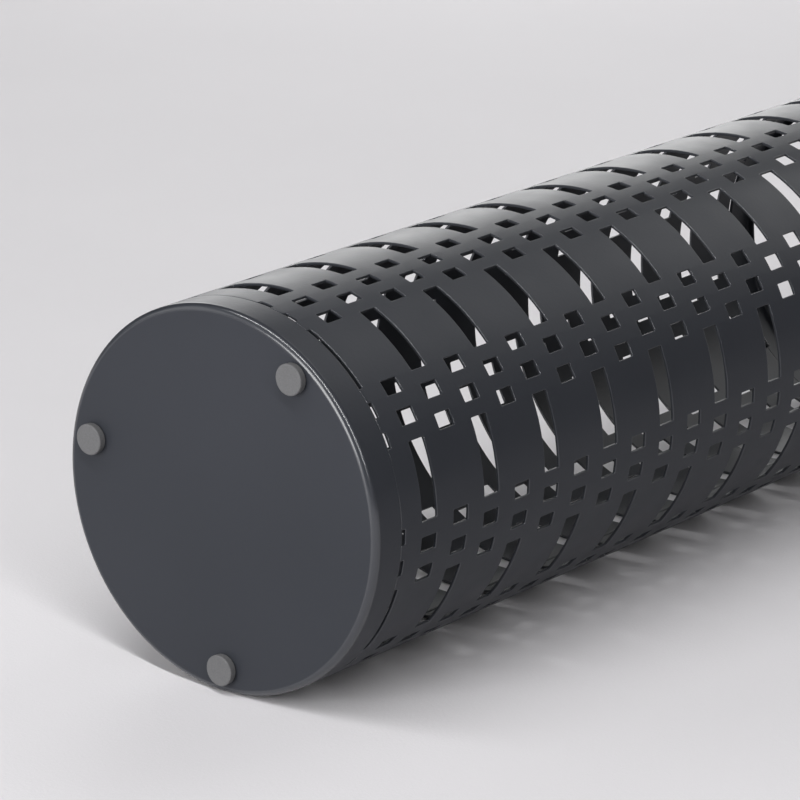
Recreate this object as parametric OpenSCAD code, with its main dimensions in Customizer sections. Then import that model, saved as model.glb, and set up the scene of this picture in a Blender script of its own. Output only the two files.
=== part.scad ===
// Round umbrella stand: a rolled tube of perforated sheet steel, butt-welded between a pressed
// base cup and a matching pressed mouth ring, on three stick-on rubber feet.
// +Z is the axis of the tube, Z = 0 is the floor, and the tube's long weld faces +Y.

/* [Body] */
// Outside diameter of the tube, the base cup and the mouth ring
outer_d = 150; // [110:1:200]
// Height from the underside of the base cup to the top of the mouth ring
body_h = 448.8; // [260:0.1:620]
// Thickness of the tube's sheet
sheet_t = 1.2; // [0.8:0.1:2]

/* [Base cup and mouth ring] */
// Height of the plain wall of the base cup and of the mouth ring
band_h = 14.7; // [10:0.1:30]
// Thickness of the pressed cup and ring
press_t = 1.2; // [0.8:0.1:2]
// Outside radius of the pressed edges
edge_r = 2.5; // [2.1:0.1:6]
// Width of the lip that turns inwards at the mouth
lip_w = 4; // [3:0.1:12]

/* [Perforation] */
// Width of one square hole along the sheet, as near as a whole number of them allows
cell_w = 6.1; // [4:0.1:9]
// Squares between one slot and the next
squares = 4; // [2:2:8]
// Length of a slot, in squares
slot_cells = 5; // [3:1:8]
// Height of every hole
hole_h = 8.7; // [5:0.1:14]
// Plain bridge between two rings of holes, as near as whole rings allow
bridge_h = 9.7; // [4:0.1:16]
// Height of the open notches where the sheet's edge cuts through a ring of holes
notch_h = 2.2; // [1:0.1:4]
// Plain strip that carries the long weld between two slots
seam_strip = 2.9; // [1.6:0.1:8]

/* [Welds] */
// Gap between the sheet's two long edges, filled by the weld
seam_gap = 0.8; // [0.5:0.1:2]
// How far the long weld stands proud inside the tube
seam_proud = 0.4; // [0.2:0.1:1]
// Radius of the tack weld beads
tack_r = 1.4; // [0.8:0.1:2]
// Length of a tack weld along the joint
tack_len = 9; // [4:0.5:12]

/* [Feet] */
// Diameter of a rubber foot
foot_d = 12.2; // [8:0.1:18]
// Height of a rubber foot without its adhesive pad
foot_h = 3.1; // [2:0.1:8]
// Chamfer around the foot's lower edge
foot_chamfer = 0.5; // [0.2:0.1:1]
// Diameter of the adhesive pad
pad_d = 11; // [6:0.1:17]
// Thickness of the adhesive pad
pad_t = 0.4; // [0.2:0.1:1]
// Direction of the first foot around the base
foot_angle_1 = 94.5; // [0:0.5:360]
// Distance of its centre from the outside wall of the base
foot_inset_1 = 9.9; // [7:0.1:20]
// Direction of the second foot, stuck on by hand
foot_angle_2 = 197.5; // [0:0.5:360]
// Distance of its centre from the outside wall of the base
foot_inset_2 = 11.9; // [7:0.1:20]
// Direction of the third foot, stuck on by hand
foot_angle_3 = 310; // [0:0.5:360]
// Distance of its centre from the outside wall of the base
foot_inset_3 = 8.6; // [7:0.1:20]

/* [Hidden] */
$fn = 96;

outer_r = outer_d / 2;
seam_dir = 90;                                   // the long weld faces +Y
base_z = foot_h + pad_t;                         // underside of the base cup
tube_z = base_z + band_h;                        // the tube's lower edge
tube_h = body_h - 2 * band_h;
ring_z = base_z + body_h - band_h;               // lower edge of the mouth ring

// Around the sheet: one period is a slot and the squares that follow it.
girth = PI * outer_d - seam_strip;
period_cells = slot_cells + squares;
periods = max(1, round((girth / cell_w - slot_cells) / period_cells));
cells = periods * period_cells + slot_cells;     // one more slot closes the sheet at the seam
cell_a = (360 / (PI * outer_d)) * girth / cells; // angle of one cell
first_a = seam_dir + (360 - cells * cell_a) / 2; // where the pattern starts after the seam
columns = periods * (squares + 1) + 1;           // a column holds squares or slots

// Up the sheet: whole rings between the notches at both ends.
rings_span = tube_h - 2 * notch_h;
rings = max(1, round((rings_span - bridge_h) / (hole_h + bridge_h)));
bridge = (rings_span - rings * hole_h) / (rings + 1);
ring_pitch = hole_h + bridge;
first_ring_z = tube_z + notch_h - hole_h;        // ring 0 is cut through by the sheet's edge

overcut = 2;                                     // cutters run this far past the sheet

// A column counts its cells from the seam: a slot takes several, squares take one each.
function in_period(c) = c % (squares + 1);
function column_cells(c) = in_period(c) == 0 ? slot_cells : 1;
function cells_before(c) = floor(c / (squares + 1)) * period_cells
    + (in_period(c) == 0 ? 0 : slot_cells + in_period(c) - 1);
function column_a(c) = first_a + cells_before(c) * cell_a;
function slot_mid_a(i) = column_a(i * (squares + 1)) + slot_cells * cell_a / 2;

// Wedge-shaped prism that cuts one hole with radial side walls.
module hole_cutter(a, span, h) {
    near = outer_r - sheet_t - overcut;
    far = (outer_r + overcut) / cos(span / 2);
    rotate([0, 0, a])
        linear_extrude(height = h)
            polygon([[near, 0], [far, 0], [far * cos(span), far * sin(span)],
                     [near * cos(span), near * sin(span)]]);
}

// Every second hole of the grid is cut, like the dark fields of a draughts board.
module perforation() {
    for (c = [0 : columns - 1], k = [0 : rings + 1])
        if ((c + k) % 2 == 1)
            translate([0, 0, first_ring_z + k * ring_pitch])
                hole_cutter(column_a(c), column_cells(c) * cell_a, hole_h);
}

module perforated_tube() {
    color([0.24, 0.25, 0.28])
        difference() {
            translate([0, 0, tube_z]) cylinder(r = outer_r, h = tube_h);
            translate([0, 0, tube_z - overcut])
                cylinder(r = outer_r - sheet_t, h = tube_h + 2 * overcut);
            rotate([0, 0, seam_dir])
                translate([0, -seam_gap / 2, tube_z - overcut])
                    cube([outer_r + overcut, seam_gap, tube_h + 2 * overcut]);
            perforation();
        }
}

// The weld fills the gap between the sheet's edges and stands a little proud inside.
module tube_seam_weld() {
    color([0.26, 0.27, 0.30])
        intersection() {
            rotate([0, 0, seam_dir])
                translate([0, -seam_gap / 2, tube_z])
                    cube([outer_r + overcut, seam_gap, tube_h]);
            difference() {
                translate([0, 0, tube_z]) cylinder(r = outer_r, h = tube_h);
                translate([0, 0, tube_z - overcut])
                    cylinder(r = outer_r - sheet_t - seam_proud, h = tube_h + 2 * overcut);
            }
        }
}

// Section of a pressed edge: a wall that turns inwards through a round corner to radius inner_r.
module pressed_section(inner_r) {
    bend_r = edge_r - press_t;
    translate([outer_r - press_t, edge_r]) square([press_t, band_h - edge_r]);
    translate([inner_r, 0]) square([outer_r - edge_r - inner_r, press_t]);
    translate([outer_r - edge_r, edge_r])
        intersection() {
            difference() {
                circle(r = edge_r);
                circle(r = bend_r);
            }
            translate([0, -edge_r]) square([edge_r, edge_r]);
        }
}

module base_cup() {
    color([0.27, 0.28, 0.31])
        translate([0, 0, base_z]) rotate_extrude() pressed_section(0);
}

module mouth_ring() {
    color([0.27, 0.28, 0.31])
        translate([0, 0, ring_z + band_h])
            mirror([0, 0, 1]) rotate_extrude() pressed_section(outer_r - lip_w);
}

// A bead along the inside of a joint at height z: its lower quarter lies on the wall below the
// joint and its upper quarter on the wall above it, whatever their thicknesses are.
module tack(a, z, below_t, above_t) {
    span = tack_len / (outer_r - max(below_t, above_t)) * 180 / PI;
    rotate([0, 0, a - span / 2])
        translate([0, 0, z])
            rotate_extrude(angle = span)
                for (side = [[-1, outer_r - below_t], [1, outer_r - above_t]])
                    intersection() {
                        translate([side[1], 0]) circle(r = tack_r, $fn = 24);
                        translate([side[1] - 2 * tack_r, side[0] < 0 ? -2 * tack_r : 0])
                            square([2 * tack_r, 2 * tack_r]);
                    }
}

// Tacks sit behind the plain fields, where no notch opens above or below them.
module base_tack_welds() {
    color([0.26, 0.27, 0.30])
        for (i = [0 : 2 : periods - 1]) tack(slot_mid_a(i), tube_z, press_t, sheet_t);
}

module mouth_tack_welds() {
    first = (rings + 1) % 2 == 0 ? 0 : 1;
    color([0.26, 0.27, 0.30])
        for (i = [first : 2 : periods - 1]) tack(slot_mid_a(i), ring_z, sheet_t, press_t);
}

module foot_place(a, inset) {
    rotate([0, 0, a]) translate([outer_r - inset, 0, 0]) children();
}

module foot(a, inset) {
    color([0.47, 0.47, 0.48])
        foot_place(a, inset)
            rotate_extrude()
                polygon([[0, 0], [foot_d / 2 - foot_chamfer, 0], [foot_d / 2, foot_chamfer],
                         [foot_d / 2, foot_h], [0, foot_h]]);
}

module foot_pad(a, inset) {
    color([0.80, 0.80, 0.78])
        foot_place(a, inset) translate([0, 0, foot_h]) cylinder(d = pad_d, h = pad_t);
}

base_cup();
perforated_tube();
mouth_ring();
tube_seam_weld();
base_tack_welds();
mouth_tack_welds();
foot(foot_angle_1, foot_inset_1);  // foot_1
foot(foot_angle_2, foot_inset_2);  // foot_2
foot(foot_angle_3, foot_inset_3);  // foot_3
foot_pad(foot_angle_1, foot_inset_1);  // foot_pad_1
foot_pad(foot_angle_2, foot_inset_2);  // foot_pad_2
foot_pad(foot_angle_3, foot_inset_3);  // foot_pad_3
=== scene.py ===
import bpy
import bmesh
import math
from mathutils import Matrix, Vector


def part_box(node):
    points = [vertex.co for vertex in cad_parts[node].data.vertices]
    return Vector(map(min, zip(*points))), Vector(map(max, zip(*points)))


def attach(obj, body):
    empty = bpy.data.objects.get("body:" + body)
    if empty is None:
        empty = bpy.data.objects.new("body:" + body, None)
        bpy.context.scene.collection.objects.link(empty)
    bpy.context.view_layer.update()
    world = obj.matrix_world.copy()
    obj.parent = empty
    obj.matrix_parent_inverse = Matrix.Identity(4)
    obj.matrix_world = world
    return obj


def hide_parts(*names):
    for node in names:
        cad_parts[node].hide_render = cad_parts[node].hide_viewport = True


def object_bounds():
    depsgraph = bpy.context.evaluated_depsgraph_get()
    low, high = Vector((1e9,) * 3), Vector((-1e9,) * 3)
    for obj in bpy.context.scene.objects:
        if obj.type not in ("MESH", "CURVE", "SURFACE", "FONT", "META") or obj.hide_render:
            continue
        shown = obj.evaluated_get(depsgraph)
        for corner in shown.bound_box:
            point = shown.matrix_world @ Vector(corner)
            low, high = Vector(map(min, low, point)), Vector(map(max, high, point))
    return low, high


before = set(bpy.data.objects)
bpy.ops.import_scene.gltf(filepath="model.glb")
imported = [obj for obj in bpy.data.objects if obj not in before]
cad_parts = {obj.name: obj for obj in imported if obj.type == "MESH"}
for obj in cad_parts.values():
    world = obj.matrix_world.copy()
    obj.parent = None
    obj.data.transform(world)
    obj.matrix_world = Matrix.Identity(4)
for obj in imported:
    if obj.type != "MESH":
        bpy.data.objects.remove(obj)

# %% [markdown]
# # A round umbrella stand in perforated steel
# The real stand is a strip of perforated sheet steel, rolled into a tube and welded along one
# line. A pressed cup closes one end, a pressed ring edges the other, both are butt-welded on,
# and the whole body is powder coated in a dark blue-grey. Three grey rubber feet are stuck
# under the cup. The floor side is at low z, the mouth is at the top, and the long weld faces +Y.
# All sizes below are in metres, so MM writes millimetres in a readable way, and TINY, a hundredth
# of a millimetre, is how close two places must be to count as the same.

MM = 0.001
TINY = 1e-5
cad_low, cad_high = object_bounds()
tube_low, tube_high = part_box("perforated_tube")
cup_low, cup_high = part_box("base_cup")
ring_low, ring_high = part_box("mouth_ring")
outer_r = round((cup_high.x - cup_low.x) / 2, 5)
print("outside radius", outer_r, "tube from", round(tube_low.z, 4), "to", round(tube_high.z, 4))

# %% [markdown]
# ## Helpers for modelling by hand
# An operator works on whatever is selected, and the loaded frame arrives selected. So each new
# piece starts with everything let go, and faces, edges or corners are then picked by a question
# about their place. When a piece is done, its place is pushed down into its mesh, so the object
# itself sits at the origin and any pattern on it stays where it is. What repeats is modelled
# once and copied, each copy with a mesh of its own. Some faces of a piece may take a second
# material, and they too are picked by a question.

# %% Helpers
def let_go():
    if bpy.context.mode != "OBJECT":
        bpy.ops.object.mode_set(mode="OBJECT")
    bpy.ops.object.select_all(action="DESELECT")


def take(piece):
    let_go()
    bpy.context.view_layer.objects.active = piece
    piece.select_set(True)


def shape(piece):
    take(piece)
    bpy.ops.object.mode_set(mode="EDIT")


def pick(kind, question):
    mesh = bpy.context.edit_object.data
    bpy.ops.mesh.select_mode(type=kind)
    bpy.ops.mesh.select_all(action="DESELECT")
    work = bmesh.from_edit_mesh(mesh)
    parts = {"VERT": work.verts, "EDGE": work.edges, "FACE": work.faces}[kind]
    count = 0
    for part in parts:
        if kind == "VERT":
            middle = part.co
        else:
            middle = sum((v.co for v in part.verts), Vector()) / len(part.verts)
        if question(part, middle):
            part.select_set(True)
            count += 1
    work.select_flush_mode()
    bmesh.update_edit_mesh(mesh)
    return count


def settle(piece):
    take(piece)
    bpy.ops.object.transform_apply(location=True, rotation=True, scale=True)


def copy_of(piece):
    take(piece)
    bpy.ops.object.duplicate()
    return bpy.context.object


def modify(piece, kind, **settings):
    take(piece)
    bpy.ops.object.modifier_add(type=kind)
    modifier = piece.modifiers[-1]
    for name, value in settings.items():
        setattr(modifier, name, value)
    bpy.ops.object.modifier_apply(modifier=modifier.name)


def triangles(piece):
    return sum(len(face.vertices) - 2 for face in piece.data.polygons)


def smooth(piece):
    take(piece)
    bpy.ops.object.shade_smooth()
    modify(piece, "WEIGHTED_NORMAL", weight=100)


def finish(piece, name, slot, material, *nodes):
    piece.name = name
    piece.data.name = name
    piece.data.materials.clear()
    piece.data.materials.append(material)
    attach(piece, "root")
    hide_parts(*nodes)
    print(name, "stands for", ", ".join(nodes), "with", triangles(piece), "triangles")


def second_material(piece, material, question):
    piece.data.materials.append(material)
    shape(piece)
    found = pick("FACE", question)
    piece.active_material_index = len(piece.data.materials) - 1
    bpy.ops.object.material_slot_assign()
    let_go()
    print(material.name, "on", found, "faces of", piece.name)


# %% [markdown]
# ## The powder coat
# Powder coat is sprayed on dry and baked, and flows into a satin skin about a tenth of a
# millimetre thick. It is never quite flat: broad soft dimples about a millimetre across, called
# orange peel, break up its reflections, and a finer grain takes the edge off its gloss. Both
# are noise that drives the bump. A slow third noise lets the colour drift a little, because an
# oven never bakes every side alike. Over a raw edge the coat pulls tight and shines, so edges
# get a version of it with a glossy film on top. The shader's coat layer is that film: a mirror
# sharper than the coat under it, and it is what draws the thin bright line round the base.

# %% Powder coat
def noise(nodes, links, scale, detail=2.0, roughness=0.5):
    place = nodes.new("ShaderNodeTexCoord")
    cloud = nodes.new("ShaderNodeTexNoise")
    cloud.inputs["Scale"].default_value = scale
    cloud.inputs["Detail"].default_value = detail
    cloud.inputs["Roughness"].default_value = roughness
    links.new(place.outputs["Object"], cloud.inputs["Vector"])
    return cloud.outputs["Fac"]


def between(nodes, links, fac, low, high):
    remap = nodes.new("ShaderNodeMapRange")
    remap.inputs["From Min"].default_value = 0.3
    remap.inputs["From Max"].default_value = 0.7
    remap.inputs["To Min"].default_value = low
    remap.inputs["To Max"].default_value = high
    links.new(fac, remap.inputs["Value"])
    return remap.outputs["Result"]


def blend_colours(nodes, links, fac, first, second):
    ramp = nodes.new("ShaderNodeValToRGB")
    ramp.color_ramp.elements[0].position = 0.3
    ramp.color_ramp.elements[1].position = 0.7
    ramp.color_ramp.elements[0].color = (*first, 1)
    ramp.color_ramp.elements[1].color = (*second, 1)
    links.new(fac, ramp.inputs["Fac"])
    return ramp.outputs["Color"]


def bump(nodes, links, height, distance, strength, under=None):
    lift = nodes.new("ShaderNodeBump")
    lift.inputs["Distance"].default_value = distance
    lift.inputs["Strength"].default_value = strength
    links.new(height, lift.inputs["Height"])
    if under is not None:
        links.new(under, lift.inputs["Normal"])
    return lift.outputs["Normal"]


def new_material(name):
    material = bpy.data.materials.new(name)
    material.use_nodes = True
    nodes = material.node_tree.nodes
    return material, nodes, material.node_tree.links, nodes["Principled BSDF"]


DARK_BLUE_GREY = (0.0275, 0.0299, 0.036)
PALER_BLUE_GREY = (0.0315, 0.0339, 0.0408)


def powder_coat(name, peel, film):
    material, nodes, links, skin = new_material(name)
    drift = noise(nodes, links, 9, 1.0)
    colour = blend_colours(nodes, links, drift, DARK_BLUE_GREY, PALER_BLUE_GREY)
    links.new(colour, skin.inputs["Base Color"])
    gloss = between(nodes, links, noise(nodes, links, 60, 3.0), 0.38, 0.44)
    links.new(gloss, skin.inputs["Roughness"])
    dimples = bump(nodes, links, noise(nodes, links, 700, 2.0), 0.06 * MM, peel)
    grain = bump(nodes, links, noise(nodes, links, 4200, 2.0), 0.01 * MM, peel, dimples)
    links.new(grain, skin.inputs["Normal"])
    links.new(dimples, skin.inputs["Coat Normal"])
    skin.inputs["Specular IOR Level"].default_value = 0.125
    skin.inputs["Coat Weight"].default_value = film
    skin.inputs["Coat Roughness"].default_value = 0.2
    skin.inputs["Coat IOR"].default_value = 1.8
    return material


coat = powder_coat("powder coat", 0.5, 0.03)
weld_coat = powder_coat("powder coat on welds", 1.0, 0.2)
edge_coat = powder_coat("powder coat on edges", 0.25, 0.6)
print("powder coat in three grades:", coat.name, "/", weld_coat.name, "/", edge_coat.name)

# %% [markdown]
# ## Grey rubber and foam
# The feet are moulded from grey rubber: dull, with a fine speckle of filler and a faint bloom.
# Each is held by a pad of white adhesive foam, whose cut edge shows its tiny cells. Cells are
# what the Voronoi texture draws, so it makes the foam's bump.

# %% Rubber and foam
rubber, nodes, links, skin = new_material("grey rubber")
speckle = noise(nodes, links, 1500, 3.0, 0.7)
links.new(blend_colours(nodes, links, speckle, (0.092, 0.092, 0.095), (0.118, 0.118, 0.121)),
          skin.inputs["Base Color"])
links.new(between(nodes, links, noise(nodes, links, 300), 0.62, 0.78), skin.inputs["Roughness"])
links.new(bump(nodes, links, speckle, 0.06 * MM, 0.5), skin.inputs["Normal"])
skin.inputs["Specular IOR Level"].default_value = 0.4

foam, nodes, links, skin = new_material("adhesive foam")
cells = nodes.new("ShaderNodeTexVoronoi")
cells.inputs["Scale"].default_value = 3500
place = nodes.new("ShaderNodeTexCoord")
links.new(place.outputs["Object"], cells.inputs["Vector"])
links.new(bump(nodes, links, cells.outputs["Distance"], 0.1 * MM, 0.6), skin.inputs["Normal"])
links.new(blend_colours(nodes, links, noise(nodes, links, 400), (0.58, 0.58, 0.56),
                        (0.68, 0.68, 0.65)), skin.inputs["Base Color"])
skin.inputs["Roughness"].default_value = 0.85
print("made", rubber.name, "and", foam.name)

# %% [markdown]
# ## The perforated sheet
# The holes could be cut from a finished tube with a boolean, but that leaves poor edges that
# can't be rounded cleanly. It is made here as the factory makes it: flat, punched, trimmed,
# and only then rolled. In a row, a slot five cells long is followed by four squares, and every
# second field of this draughts board is open. The next ring swaps the open and the closed
# ones. So the pattern repeats every eighteen cells round and every two rings up, and one tile
# of that size is modelled and copied.

# %% One tile of the pattern
sheet_t = 1.2 * MM
middle_r = outer_r - sheet_t / 2
cell_angle = math.radians(4.64656)
cells_round = 77
strip_angle = 2 * math.pi - cells_round * cell_angle
cell = cell_angle * middle_r
margin = strip_angle * middle_r / 2
hole_h = 8.7 * MM
bridge = 9.7217 * MM
notch = 2.2 * MM
seam_gap = 0.8 * MM
first_x = -math.pi * middle_r + margin
first_z = tube_low.z + notch - hole_h

SLOT_CELLS = 5
PERIOD_CELLS = 9
TILE_CELLS = 2 * PERIOD_CELLS
tile_w = TILE_CELLS * cell
tile_h = 2 * (hole_h + bridge)
tiles_up, tiles_round = 12, 5

let_go()
bpy.ops.mesh.primitive_grid_add(x_subdivisions=2 * TILE_CELLS, y_subdivisions=1, size=1,
                                rotation=(math.pi / 2, 0, 0))
sheet = bpy.context.object
sheet.scale = (tile_w, hole_h, 1)
sheet.location = (first_x + tile_w / 2, 0, first_z + hole_h / 2)
settle(sheet)
shape(sheet)
row_top = first_z + hole_h
for height in (bridge, hole_h, bridge):
    pick("EDGE", lambda edge, at: all(v.co.z > row_top - TINY for v in edge.verts))
    bpy.ops.mesh.extrude_region_move(TRANSFORM_OT_translate={"value": (0, 0, height)})
    row_top += height


def is_open(face, at):
    ring, up = divmod(at.z - first_z, hole_h + bridge)
    if up > hole_h:
        return False
    number = int((at.x - first_x) / cell)
    period, place = divmod(number, PERIOD_CELLS)
    fields_before = period * (PERIOD_CELLS - SLOT_CELLS + 1)
    column = fields_before + max(place - SLOT_CELLS + 1, 0)
    return (column + int(ring)) % 2 == 1


opened = pick("FACE", is_open)
bpy.ops.mesh.delete(type="FACE")
let_go()
print("the tile has", opened, "open faces of", opened + len(sheet.data.polygons))

# %% [markdown]
# Two Array modifiers lay the tile out as a length of coil stock, a little larger than the
# blank, and three Bisect cuts trim it: bottom, top and one side, because the other side starts
# true. The bottom and top cuts pass through a ring of holes, which leaves the row of low
# notches next to the cup and the ring. The plain margins for the long weld are then extruded
# from the two side edges.

# %% Lay out the coil and cut the blank
modify(sheet, "ARRAY", count=tiles_up, use_relative_offset=False, use_constant_offset=True,
       constant_offset_displace=(0, 0, tile_h),
       use_merge_vertices=True, merge_threshold=TINY)
modify(sheet, "ARRAY", count=tiles_round, use_relative_offset=False, use_constant_offset=True,
       constant_offset_displace=(tile_w, 0, 0),
       use_merge_vertices=True, merge_threshold=TINY)
last_x = first_x + cells_round * cell
shape(sheet)
for spot, way in (((0, 0, tube_low.z), (0, 0, -1)), ((0, 0, tube_high.z), (0, 0, 1)),
                  ((last_x, 0, 0), (1, 0, 0))):
    bpy.ops.mesh.select_all(action="SELECT")
    bpy.ops.mesh.bisect(plane_co=spot, plane_no=way, clear_outer=True, threshold=1e-6)
for side_x, step in ((first_x, -1), (last_x, 1)):
    pick("EDGE", lambda edge, at: abs(at.x - side_x) < TINY and len(edge.link_faces) == 1
         and abs(edge.verts[0].co.x - edge.verts[1].co.x) < 1e-6)
    reach = step * (margin - seam_gap / 2)
    bpy.ops.mesh.extrude_region_move(TRANSFORM_OT_translate={"value": (reach, 0, 0)})
let_go()
blank_w = sheet.dimensions.x
print("blank", round(blank_w / MM, 1), "by", round(sheet.dimensions.z / MM, 1), "mm")

# %% [markdown]
# Solidify gives the sheet its thickness. A punch leaves sharp corners, but the coat fills and
# rounds them, so the four corners of each hole are bevelled first and its rims after them.
# A Simple Deform bend then rolls the blank through almost a full turn round the z axis. The
# bend keeps the middle of the sheet at its true length, which is what a rolling mill does too.
# The cut walls and their rims look along the wall, not straight out or in, so a question about
# the normal finds them for the glossy coat.

# %% Give it thickness, soften its edges, and roll it
modify(sheet, "SOLIDIFY", thickness=sheet_t, offset=0)
shape(sheet)
corners = pick("EDGE", lambda edge, at: abs(edge.verts[0].co.y - edge.verts[1].co.y) > 1e-3
               and edge.calc_face_angle(0) > 1)
print("the punch left", corners, "corners")
bpy.ops.mesh.bevel(offset=0.5 * MM, segments=2, affect="EDGES", clamp_overlap=True)
let_go()


def soften_edges(piece):
    modify(piece, "BEVEL", width=0.28 * MM, segments=2, limit_method="ANGLE",
           angle_limit=math.radians(60))


soften_edges(sheet)
modify(sheet, "SIMPLE_DEFORM", deform_method="BEND", deform_axis="Z",
       angle=blank_w / middle_r)
sheet.location = (0, -middle_r, 0)
settle(sheet)
smooth(sheet)
finish(sheet, "perforated_sheet", "powder_coat", coat, "perforated_tube")
second_material(sheet, edge_coat, lambda face, at: abs(
    face.normal.dot(Vector((at.x, at.y, 0)).normalized())) < 0.95)

# %% [markdown]
# ## The base cup
# A press draws the cup from a disc: a flat bottom, a round shoulder and a short plain wall. A
# lathe profile and Spin would do, but this shape is just a filled circle whose edge is
# extruded up, whose shoulder is bevelled, and which Solidify thickens inwards. The butt weld
# that joins it to the sheet melts up into the foot of each notch, so the raw edge of the cup is
# carried a little way up inside the wall of the sheet, where only the notches show it.

# %% Base cup
around = 156
shoulder = 2.5 * MM


def outward(piece, face_at):
    face = min(piece.data.polygons, key=lambda f: (f.center - face_at).length)
    away = Vector((face.center.x, face.center.y, 0))
    if face.normal.dot(away) < 0:
        shape(piece)
        bpy.ops.mesh.select_all(action="SELECT")
        bpy.ops.mesh.flip_normals()
        let_go()


def fill_notches(piece, edge_z, way):
    shape(piece)
    found = pick("FACE", lambda face, at: abs(at.z - edge_z) < TINY and abs(face.normal.z) > 0.99)
    bpy.ops.mesh.extrude_region_move(TRANSFORM_OT_translate={"value": (0, 0, way * 0.6 * MM)})
    let_go()
    print("the weld rises from", found, "faces of the raw edge")


let_go()
bpy.ops.mesh.primitive_circle_add(vertices=around, radius=outer_r, fill_type="NGON",
                                  location=(0, 0, cup_low.z))
cup = bpy.context.object
settle(cup)
shape(cup)
pick("EDGE", lambda edge, at: True)
bpy.ops.mesh.extrude_edges_move(
    TRANSFORM_OT_translate={"value": (0, 0, cup_high.z - cup_low.z)})
bpy.ops.mesh.select_all(action="SELECT")
bpy.ops.mesh.normals_make_consistent(inside=False)
pick("EDGE", lambda edge, at: all(v.co.z < cup_low.z + TINY for v in edge.verts))
bpy.ops.mesh.bevel(offset=shoulder, segments=10, profile=0.46, affect="EDGES")
pick("FACE", lambda face, at: face.normal.z < -0.99 and len(face.verts) > 20)
bpy.ops.mesh.inset(thickness=4 * MM)
bpy.ops.mesh.inset(thickness=24 * MM)
let_go()
outward(cup, Vector((outer_r, 0, (cup_low.z + cup_high.z) / 2)))
modify(cup, "SOLIDIFY", thickness=sheet_t, offset=-1, use_even_offset=True)
soften_edges(cup)
fill_notches(cup, cup_high.z, 1)
smooth(cup)
finish(cup, "pressed_base_cup", "powder_coat", coat, "base_cup")
second_material(cup, edge_coat, lambda face, at: -0.995 < face.normal.z < -0.05)

# %% [markdown]
# ## The mouth ring
# The same press work finishes the mouth, but its middle is cut away and leaves a narrow lip
# that turns inwards, so no raw edge meets a hand or an umbrella. Its edge loop is extruded up,
# then drawn in towards the axis with a resize, and the outer shoulder is bevelled.

# %% Mouth ring
lip_r = outer_r - 4 * MM
let_go()
bpy.ops.mesh.primitive_circle_add(vertices=around, radius=outer_r, fill_type="NOTHING",
                                  location=(0, 0, ring_low.z))
rim = bpy.context.object
settle(rim)
shape(rim)
pick("EDGE", lambda edge, at: True)
bpy.ops.mesh.extrude_edges_move(
    TRANSFORM_OT_translate={"value": (0, 0, ring_high.z - ring_low.z)})
pick("EDGE", lambda edge, at: all(v.co.z > ring_high.z - TINY for v in edge.verts))
bpy.ops.mesh.extrude_edges_move(TRANSFORM_OT_translate={"value": (0, 0, 0)})
bpy.ops.transform.resize(value=(lip_r / outer_r, lip_r / outer_r, 1))
bpy.ops.mesh.select_all(action="SELECT")
bpy.ops.mesh.normals_make_consistent(inside=False)
pick("EDGE", lambda edge, at: all(v.co.z > ring_high.z - TINY
                                  and math.hypot(v.co.x, v.co.y) > outer_r - TINY
                                  for v in edge.verts))
bpy.ops.mesh.bevel(offset=shoulder, segments=10, profile=0.46, affect="EDGES")
let_go()
outward(rim, Vector((outer_r, 0, (ring_low.z + ring_high.z) / 2)))
modify(rim, "SOLIDIFY", thickness=sheet_t, offset=-1, use_even_offset=True)
soften_edges(rim)
fill_notches(rim, ring_low.z, -1)
smooth(rim)
finish(rim, "pressed_mouth_ring", "powder_coat", coat, "mouth_ring")
second_material(rim, edge_coat, lambda face, at: 0.05 < face.normal.z < 0.995)

# %% [markdown]
# ## The long weld
# Where the sheet's edges meet, a welder closes the gap. Outside, the bead is ground flush
# and leaves only a fine line under the coat. Inside, it stays as it set, in small ripples
# where each drop froze over the last. One drop is modelled from a cube: its inner face is
# spread over the sheet and crowned. An Array then stacks it along the whole tube.

# %% Long weld
drop = 1.4 * MM
weld_low, weld_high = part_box("tube_seam_weld")
drops = int((weld_high.z - weld_low.z) / drop)
drop = (weld_high.z - weld_low.z) / drops
let_go()
bpy.ops.mesh.primitive_cube_add(size=1, location=(0, outer_r - 0.62 * MM,
                                                  weld_low.z + drop / 2))
bead = bpy.context.object
bead.scale = (0.84 * MM, 1.12 * MM, drop)
settle(bead)
shape(bead)
pick("FACE", lambda face, at: face.normal.y < -0.9)
bpy.ops.mesh.extrude_region_move(TRANSFORM_OT_translate={"value": (0, 0, 0)})
bpy.ops.transform.resize(value=(2.9, 1, 1))
bpy.ops.mesh.extrude_region_move(TRANSFORM_OT_translate={"value": (0, -0.22 * MM, 0)})
bpy.ops.transform.resize(value=(0.78, 1, 1))
bpy.ops.mesh.extrude_region_move(TRANSFORM_OT_translate={"value": (0, -0.16 * MM, 0)})
bpy.ops.transform.resize(value=(0.45, 1, 1))
pick("EDGE", lambda edge, at: abs(edge.verts[0].co.z - edge.verts[1].co.z) > drop / 2)
bpy.ops.mesh.subdivide(number_cuts=2)
pick("VERT", lambda vert, at: at.y < outer_r - 1.2 * MM and at.z < weld_low.z + drop * 0.2)
bpy.ops.transform.translate(value=(0, 0.14 * MM, 0))
pick("VERT", lambda vert, at: at.y < outer_r - 1.2 * MM and at.z > weld_low.z + drop * 0.8)
bpy.ops.transform.translate(value=(0, 0.14 * MM, 0))
pick("FACE", lambda face, at: abs(face.normal.z) > 0.9)
bpy.ops.mesh.delete(type="FACE")
let_go()
modify(bead, "ARRAY", count=drops, use_relative_offset=False, use_constant_offset=True,
       constant_offset_displace=(0, 0, drop), use_merge_vertices=True, merge_threshold=TINY)
shape(bead)
pick("EDGE", lambda edge, at: len(edge.link_faces) == 1)
bpy.ops.mesh.fill_holes(sides=0)
bpy.ops.mesh.select_all(action="SELECT")
bpy.ops.mesh.normals_make_consistent(inside=False)
let_go()
smooth(bead)
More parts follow.
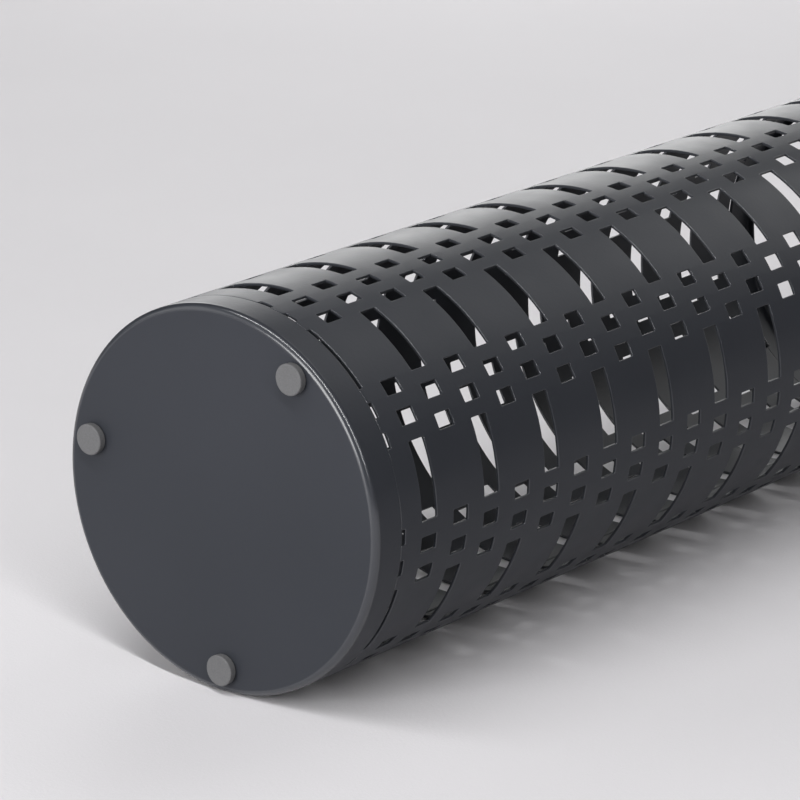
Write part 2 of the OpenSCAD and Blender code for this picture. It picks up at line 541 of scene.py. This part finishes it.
finish(bead, "long_weld", "powder_coat", weld_coat, "tube_seam_weld")

# %% [markdown]
# ## The tack welds
# The cup and the ring are held by short beads on the inside, behind fields without a notch. A
# bead laid by hand is a row of drops, each frozen half over the one before. So one drop is a
# flattened sphere, and an Array repeats it seven times.

# %% One tack bead
let_go()
bpy.ops.mesh.primitive_uv_sphere_add(segments=20, ring_count=12, radius=1)
first_bead = bpy.context.object
first_bead.scale = (1.05 * MM, 1.15 * MM, 1.4 * MM)
first_bead.location = (-3.45 * MM, outer_r - 1.38 * MM, 0)
settle(first_bead)
modify(first_bead, "ARRAY", count=7, use_relative_offset=False, use_constant_offset=True,
       constant_offset_displace=(1.15 * MM, 0, 0))
print("one bead has", triangles(first_bead), "triangles")

# %% [markdown]
# The bead lies across the +Y side at zero height. Each copy is lifted to its joint and turned
# round the axis to the middle of a closed field. The fields of the lowest ring and those of the
# highest take turns, so the base has every second one and the mouth has those between. The copies
# of one joint are joined into one piece, and the pattern they came from is thrown away.

# %% Beads round both joints
def tack_row(name, z, angles, node):
    beads = []
    for angle in angles:
        bead = copy_of(first_bead)
        bead.location = (0, 0, z)
        bead.rotation_euler = (0, 0, math.radians(angle - 90))
        settle(bead)
        beads.append(bead)
    let_go()
    for bead in beads:
        bead.select_set(True)
    bpy.context.view_layer.objects.active = beads[0]
    bpy.ops.object.join()
    row = bpy.context.object
    smooth(row)
    finish(row, name, "powder_coat", weld_coat, node)


first_angle = 90 + math.degrees(strip_angle) / 2
periods = cells_round // PERIOD_CELLS
field_angles = [first_angle + (PERIOD_CELLS * number + SLOT_CELLS / 2) * math.degrees(cell_angle)
                for number in range(periods)]
tack_row("base_tacks", tube_low.z, field_angles[0::2], "base_tack_welds")
tack_row("mouth_tacks", tube_high.z, field_angles[1::2], "mouth_tack_welds")
bpy.data.meshes.remove(first_bead.data)

# %% [markdown]
# ## The feet and their pads
# A stick-on foot is a moulded disc of rubber with a soft lower edge and sides that lean in a
# little, so that it leaves its mould. It starts as a cylinder, its lower edge is bevelled, its
# upper end drawn in, and its face gets the faint dish that shrinking rubber leaves.

# %% One foot
def place_of(node):
    low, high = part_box(node)
    return (low + high) / 2, high - low


centre, size = place_of("foot_1")
bottom = centre.z - size.z / 2
top = centre.z + size.z / 2
let_go()
bpy.ops.mesh.primitive_cylinder_add(vertices=72, radius=size.x / 2, depth=size.z,
                                    location=(0, 0, centre.z))
first_foot = bpy.context.object
settle(first_foot)
shape(first_foot)
pick("VERT", lambda vert, at: at.z > top - TINY)
bpy.ops.transform.resize(value=(0.965, 0.965, 1))
pick("EDGE", lambda edge, at: all(v.co.z < bottom + TINY for v in edge.verts))
bpy.ops.mesh.bevel(offset=0.6 * MM, segments=5, affect="EDGES")
pick("FACE", lambda face, at: face.normal.z < -0.99)
bpy.ops.mesh.inset(thickness=0.35 * MM)
bpy.ops.mesh.inset(thickness=0.5 * MM)
bpy.ops.transform.translate(value=(0, 0, 0.07 * MM))
bpy.ops.mesh.inset(thickness=2.2 * MM)
pick("EDGE", lambda edge, at: all(v.co.z > top - TINY for v in edge.verts))
bpy.ops.mesh.bevel(offset=0.2 * MM, segments=2, affect="EDGES")
let_go()
print("one foot", round(size.x / MM, 1), "mm across has", triangles(first_foot), "triangles")

# %% [markdown]
# The pad behind a foot is foam, squeezed by the load until its side bulges. A cylinder's side is
# cut into four bands, and the edges between them are drawn in the more, the further they are
# from its middle.

# %% One pad
centre, size = place_of("foot_pad_1")
let_go()
bpy.ops.mesh.primitive_cylinder_add(vertices=64, radius=size.x / 2, depth=size.z,
                                    location=(0, 0, centre.z))
first_pad = bpy.context.object
settle(first_pad)
shape(first_pad)
pick("EDGE", lambda edge, at: abs(edge.verts[0].co.z - edge.verts[1].co.z) > 1e-4)
bpy.ops.mesh.subdivide(number_cuts=3)
pick("VERT", lambda vert, at: abs(at.z - centre.z) > size.z * 0.4)
bpy.ops.transform.resize(value=(0.975, 0.975, 1))
pick("VERT", lambda vert, at: 0.2 * size.z < abs(at.z - centre.z) < size.z * 0.4)
bpy.ops.transform.resize(value=(0.992, 0.992, 1))
let_go()
print("one pad", round(size.x / MM, 1), "mm across has", triangles(first_pad), "triangles")

# %% [markdown]
# Whoever stuck the feet on did it by eye, so they are neither evenly spaced nor all at the same
# distance from the edge. Each copy is moved to where the frame has its foot or pad.

# %% Stick on three feet
def stick_on(pattern, name, slot, material, node):
    middle, size = place_of(node)
    piece = copy_of(pattern)
    piece.location = (middle.x, middle.y, 0)
    settle(piece)
    smooth(piece)
    finish(piece, name, slot, material, node)


for number in (1, 2, 3):
    stick_on(first_foot, f"rubber_foot_{number}", "foot_rubber", rubber, f"foot_{number}")
    stick_on(first_pad, f"foam_pad_{number}", "adhesive_foam", foam, f"foot_pad_{number}")
for pattern in (first_foot, first_pad):
    bpy.data.meshes.remove(pattern.data)

# %% [markdown]
# ## The floor
# The stand is shown lying on its side, so the pale floor touches its wall and stands upright in
# this frame. The direction of the touching line, seen from the axis, gives the floor its place
# and its normal. Seen from its back the floor is clear, so that the stand can be looked
# at from that side too, and far away it fades into the pale air, which hides its edge.

# %% Floor
lying = math.radians(96.156)
down = Vector((math.cos(lying), math.sin(lying), 0))
up = -down
let_go()
bpy.ops.mesh.primitive_grid_add(x_subdivisions=12, y_subdivisions=12, size=9)
floor = bpy.context.object
floor.name = "pale_floor"
floor.rotation_mode = "QUATERNION"
floor.rotation_quaternion = up.to_track_quat("Z", "Y")
floor.location = down * outer_r + Vector((0, 0, (cad_low.z + cad_high.z) / 2))
settle(floor)
pale, nodes, links, skin = new_material("pale floor")
links.new(blend_colours(nodes, links, noise(nodes, links, 2.5, 4.0), (0.70, 0.686, 0.706),
                        (0.74, 0.725, 0.746)), skin.inputs["Base Color"])
skin.inputs["Roughness"].default_value = 0.7
skin.inputs["Specular IOR Level"].default_value = 0.25
links.new(bump(nodes, links, noise(nodes, links, 700, 4.0, 0.7), 0.4 * MM, 0.3),
          skin.inputs["Normal"])
clear = nodes.new("ShaderNodeBsdfTransparent")
side = nodes.new("ShaderNodeNewGeometry")
spot = nodes.new("ShaderNodeTexCoord")
away = nodes.new("ShaderNodeVectorMath")
away.operation = "LENGTH"
links.new(spot.outputs["Object"], away.inputs[0])
fade = nodes.new("ShaderNodeMapRange")
fade.inputs["From Min"].default_value = 1.7
fade.inputs["From Max"].default_value = 2.8
links.new(away.outputs["Value"], fade.inputs["Value"])
either = nodes.new("ShaderNodeMath")
either.operation = "MAXIMUM"
links.new(side.outputs["Backfacing"], either.inputs[0])
links.new(fade.outputs["Result"], either.inputs[1])
choose = nodes.new("ShaderNodeMixShader")
links.new(either.outputs["Value"], choose.inputs["Fac"])
links.new(skin.outputs["BSDF"], choose.inputs[1])
links.new(clear.outputs["BSDF"], choose.inputs[2])
links.new(choose.outputs["Shader"], nodes["Material Output"].inputs["Surface"])
floor.data.materials.append(pale)
print("the floor touches the stand along", round(math.degrees(lying), 1), "degrees")

# %% [markdown]
# ## The camera
# A long lens from a little above the floor, level with it and looking at the underside. Up
# is the floor's normal, so the camera's axes follow from where it looks and that one vector.

# %% Camera
look = Vector((-0.62871, 0.23446, 0.74146)).normalized()
right = look.cross(up).normalized()
top = right.cross(look)
bpy.ops.object.camera_add(location=(1.09583, -0.4215, -1.18079))
camera = bpy.context.object
camera.rotation_mode = "QUATERNION"
camera.rotation_quaternion = Matrix((right, top, -look)).transposed().to_quaternion()
camera.data.lens = 203.22
camera.data.sensor_width = 36
camera.data.clip_start = 0.05
camera.data.clip_end = 50
bpy.context.scene.camera = camera
print("camera at", [round(value, 3) for value in camera.location])

# %% [markdown]
# ## The light
# Soft square panels stand around the stand at two heights. The strongest, the key, is low at
# the left behind the camera and lights the base; those beyond the stand draw the bright top of
# the tube and throw the shadow forward to the right. A long narrow strip overhead is mirrored in
# every rounded edge: the normals of an edge sweep through a quarter turn, so somewhere on it
# they always point halfway between the strip and the camera. The strip follows the arc of
# directions for which this happens all along the upper right of the base's shoulder. The air
# gives no light, but the camera sees it pale.

# %% Light
ahead = (look - look.dot(up) * up).normalized()
target = Vector((0, 0, 0.15))


def panel(name, rise, sideways, forward, distance, size, power):
    way = (up * rise + right * sideways + ahead * forward).normalized()
    bpy.ops.object.light_add(type="AREA", location=target + way * distance)
    lamp = bpy.context.object
    lamp.name = name
    lamp.data.shape = "RECTANGLE"
    lamp.data.size = size[0]
    lamp.data.size_y = size[1]
    lamp.data.energy = power
    lamp.rotation_mode = "QUATERNION"
    lamp.rotation_quaternion = way.to_track_quat("Z", "Y")
    return lamp


let_go()
soft_panels = (("key", 0.2, 315, 46), ("left", 0.36, 270, 6), ("right back", 1, 135, 6),
               ("right back low", 0.36, 135, 12), ("back low", 0.36, 180, 9),
               ("horizon", 0.12, 180, 12))
FAR = 2.4
NEAR = 1.5
for name, rise, turn, power in soft_panels:
    turn = math.radians(turn)
    panel(name, rise, math.sin(turn), -math.cos(turn), FAR, (1.3, 1.3), power)
strip = panel("strip", 0.8047, -0.0907, -0.5867, NEAR, (3.33, 0.043), 29)
along = (up * -0.56 + right * 1.02 + ahead * -0.93).normalized()
over = (strip.location - target).normalized()
along = (along - along.dot(over) * over).normalized()
strip.rotation_quaternion = Matrix((along, over.cross(along), over)).transposed().to_quaternion()

world = bpy.data.worlds.new("studio")
bpy.context.scene.world = world
world.use_nodes = True
nodes = world.node_tree.nodes
links = world.node_tree.links
air = nodes["Background"]
air.inputs["Color"].default_value = (0, 0, 0, 1)
seen = nodes.new("ShaderNodeBackground")
seen.inputs["Color"].default_value = (0.72, 0.72, 0.71, 1)
path = nodes.new("ShaderNodeLightPath")
choose = nodes.new("ShaderNodeMixShader")
links.new(path.outputs["Is Camera Ray"], choose.inputs["Fac"])
links.new(air.outputs["Background"], choose.inputs[1])
links.new(seen.outputs["Background"], choose.inputs[2])
links.new(choose.outputs["Shader"], nodes["World Output"].inputs["Surface"])
bpy.context.scene.view_settings.view_transform = "Standard"
bpy.context.scene.view_settings.look = "None"
print(len(soft_panels), "soft panels and one strip")

# %% [markdown]
# ## The size of the frame
# The finished look is meant to fill the same box as the measured frame, and the frame's box is
# printed.

print("frame", [round(v, 4) for v in cad_high - cad_low])
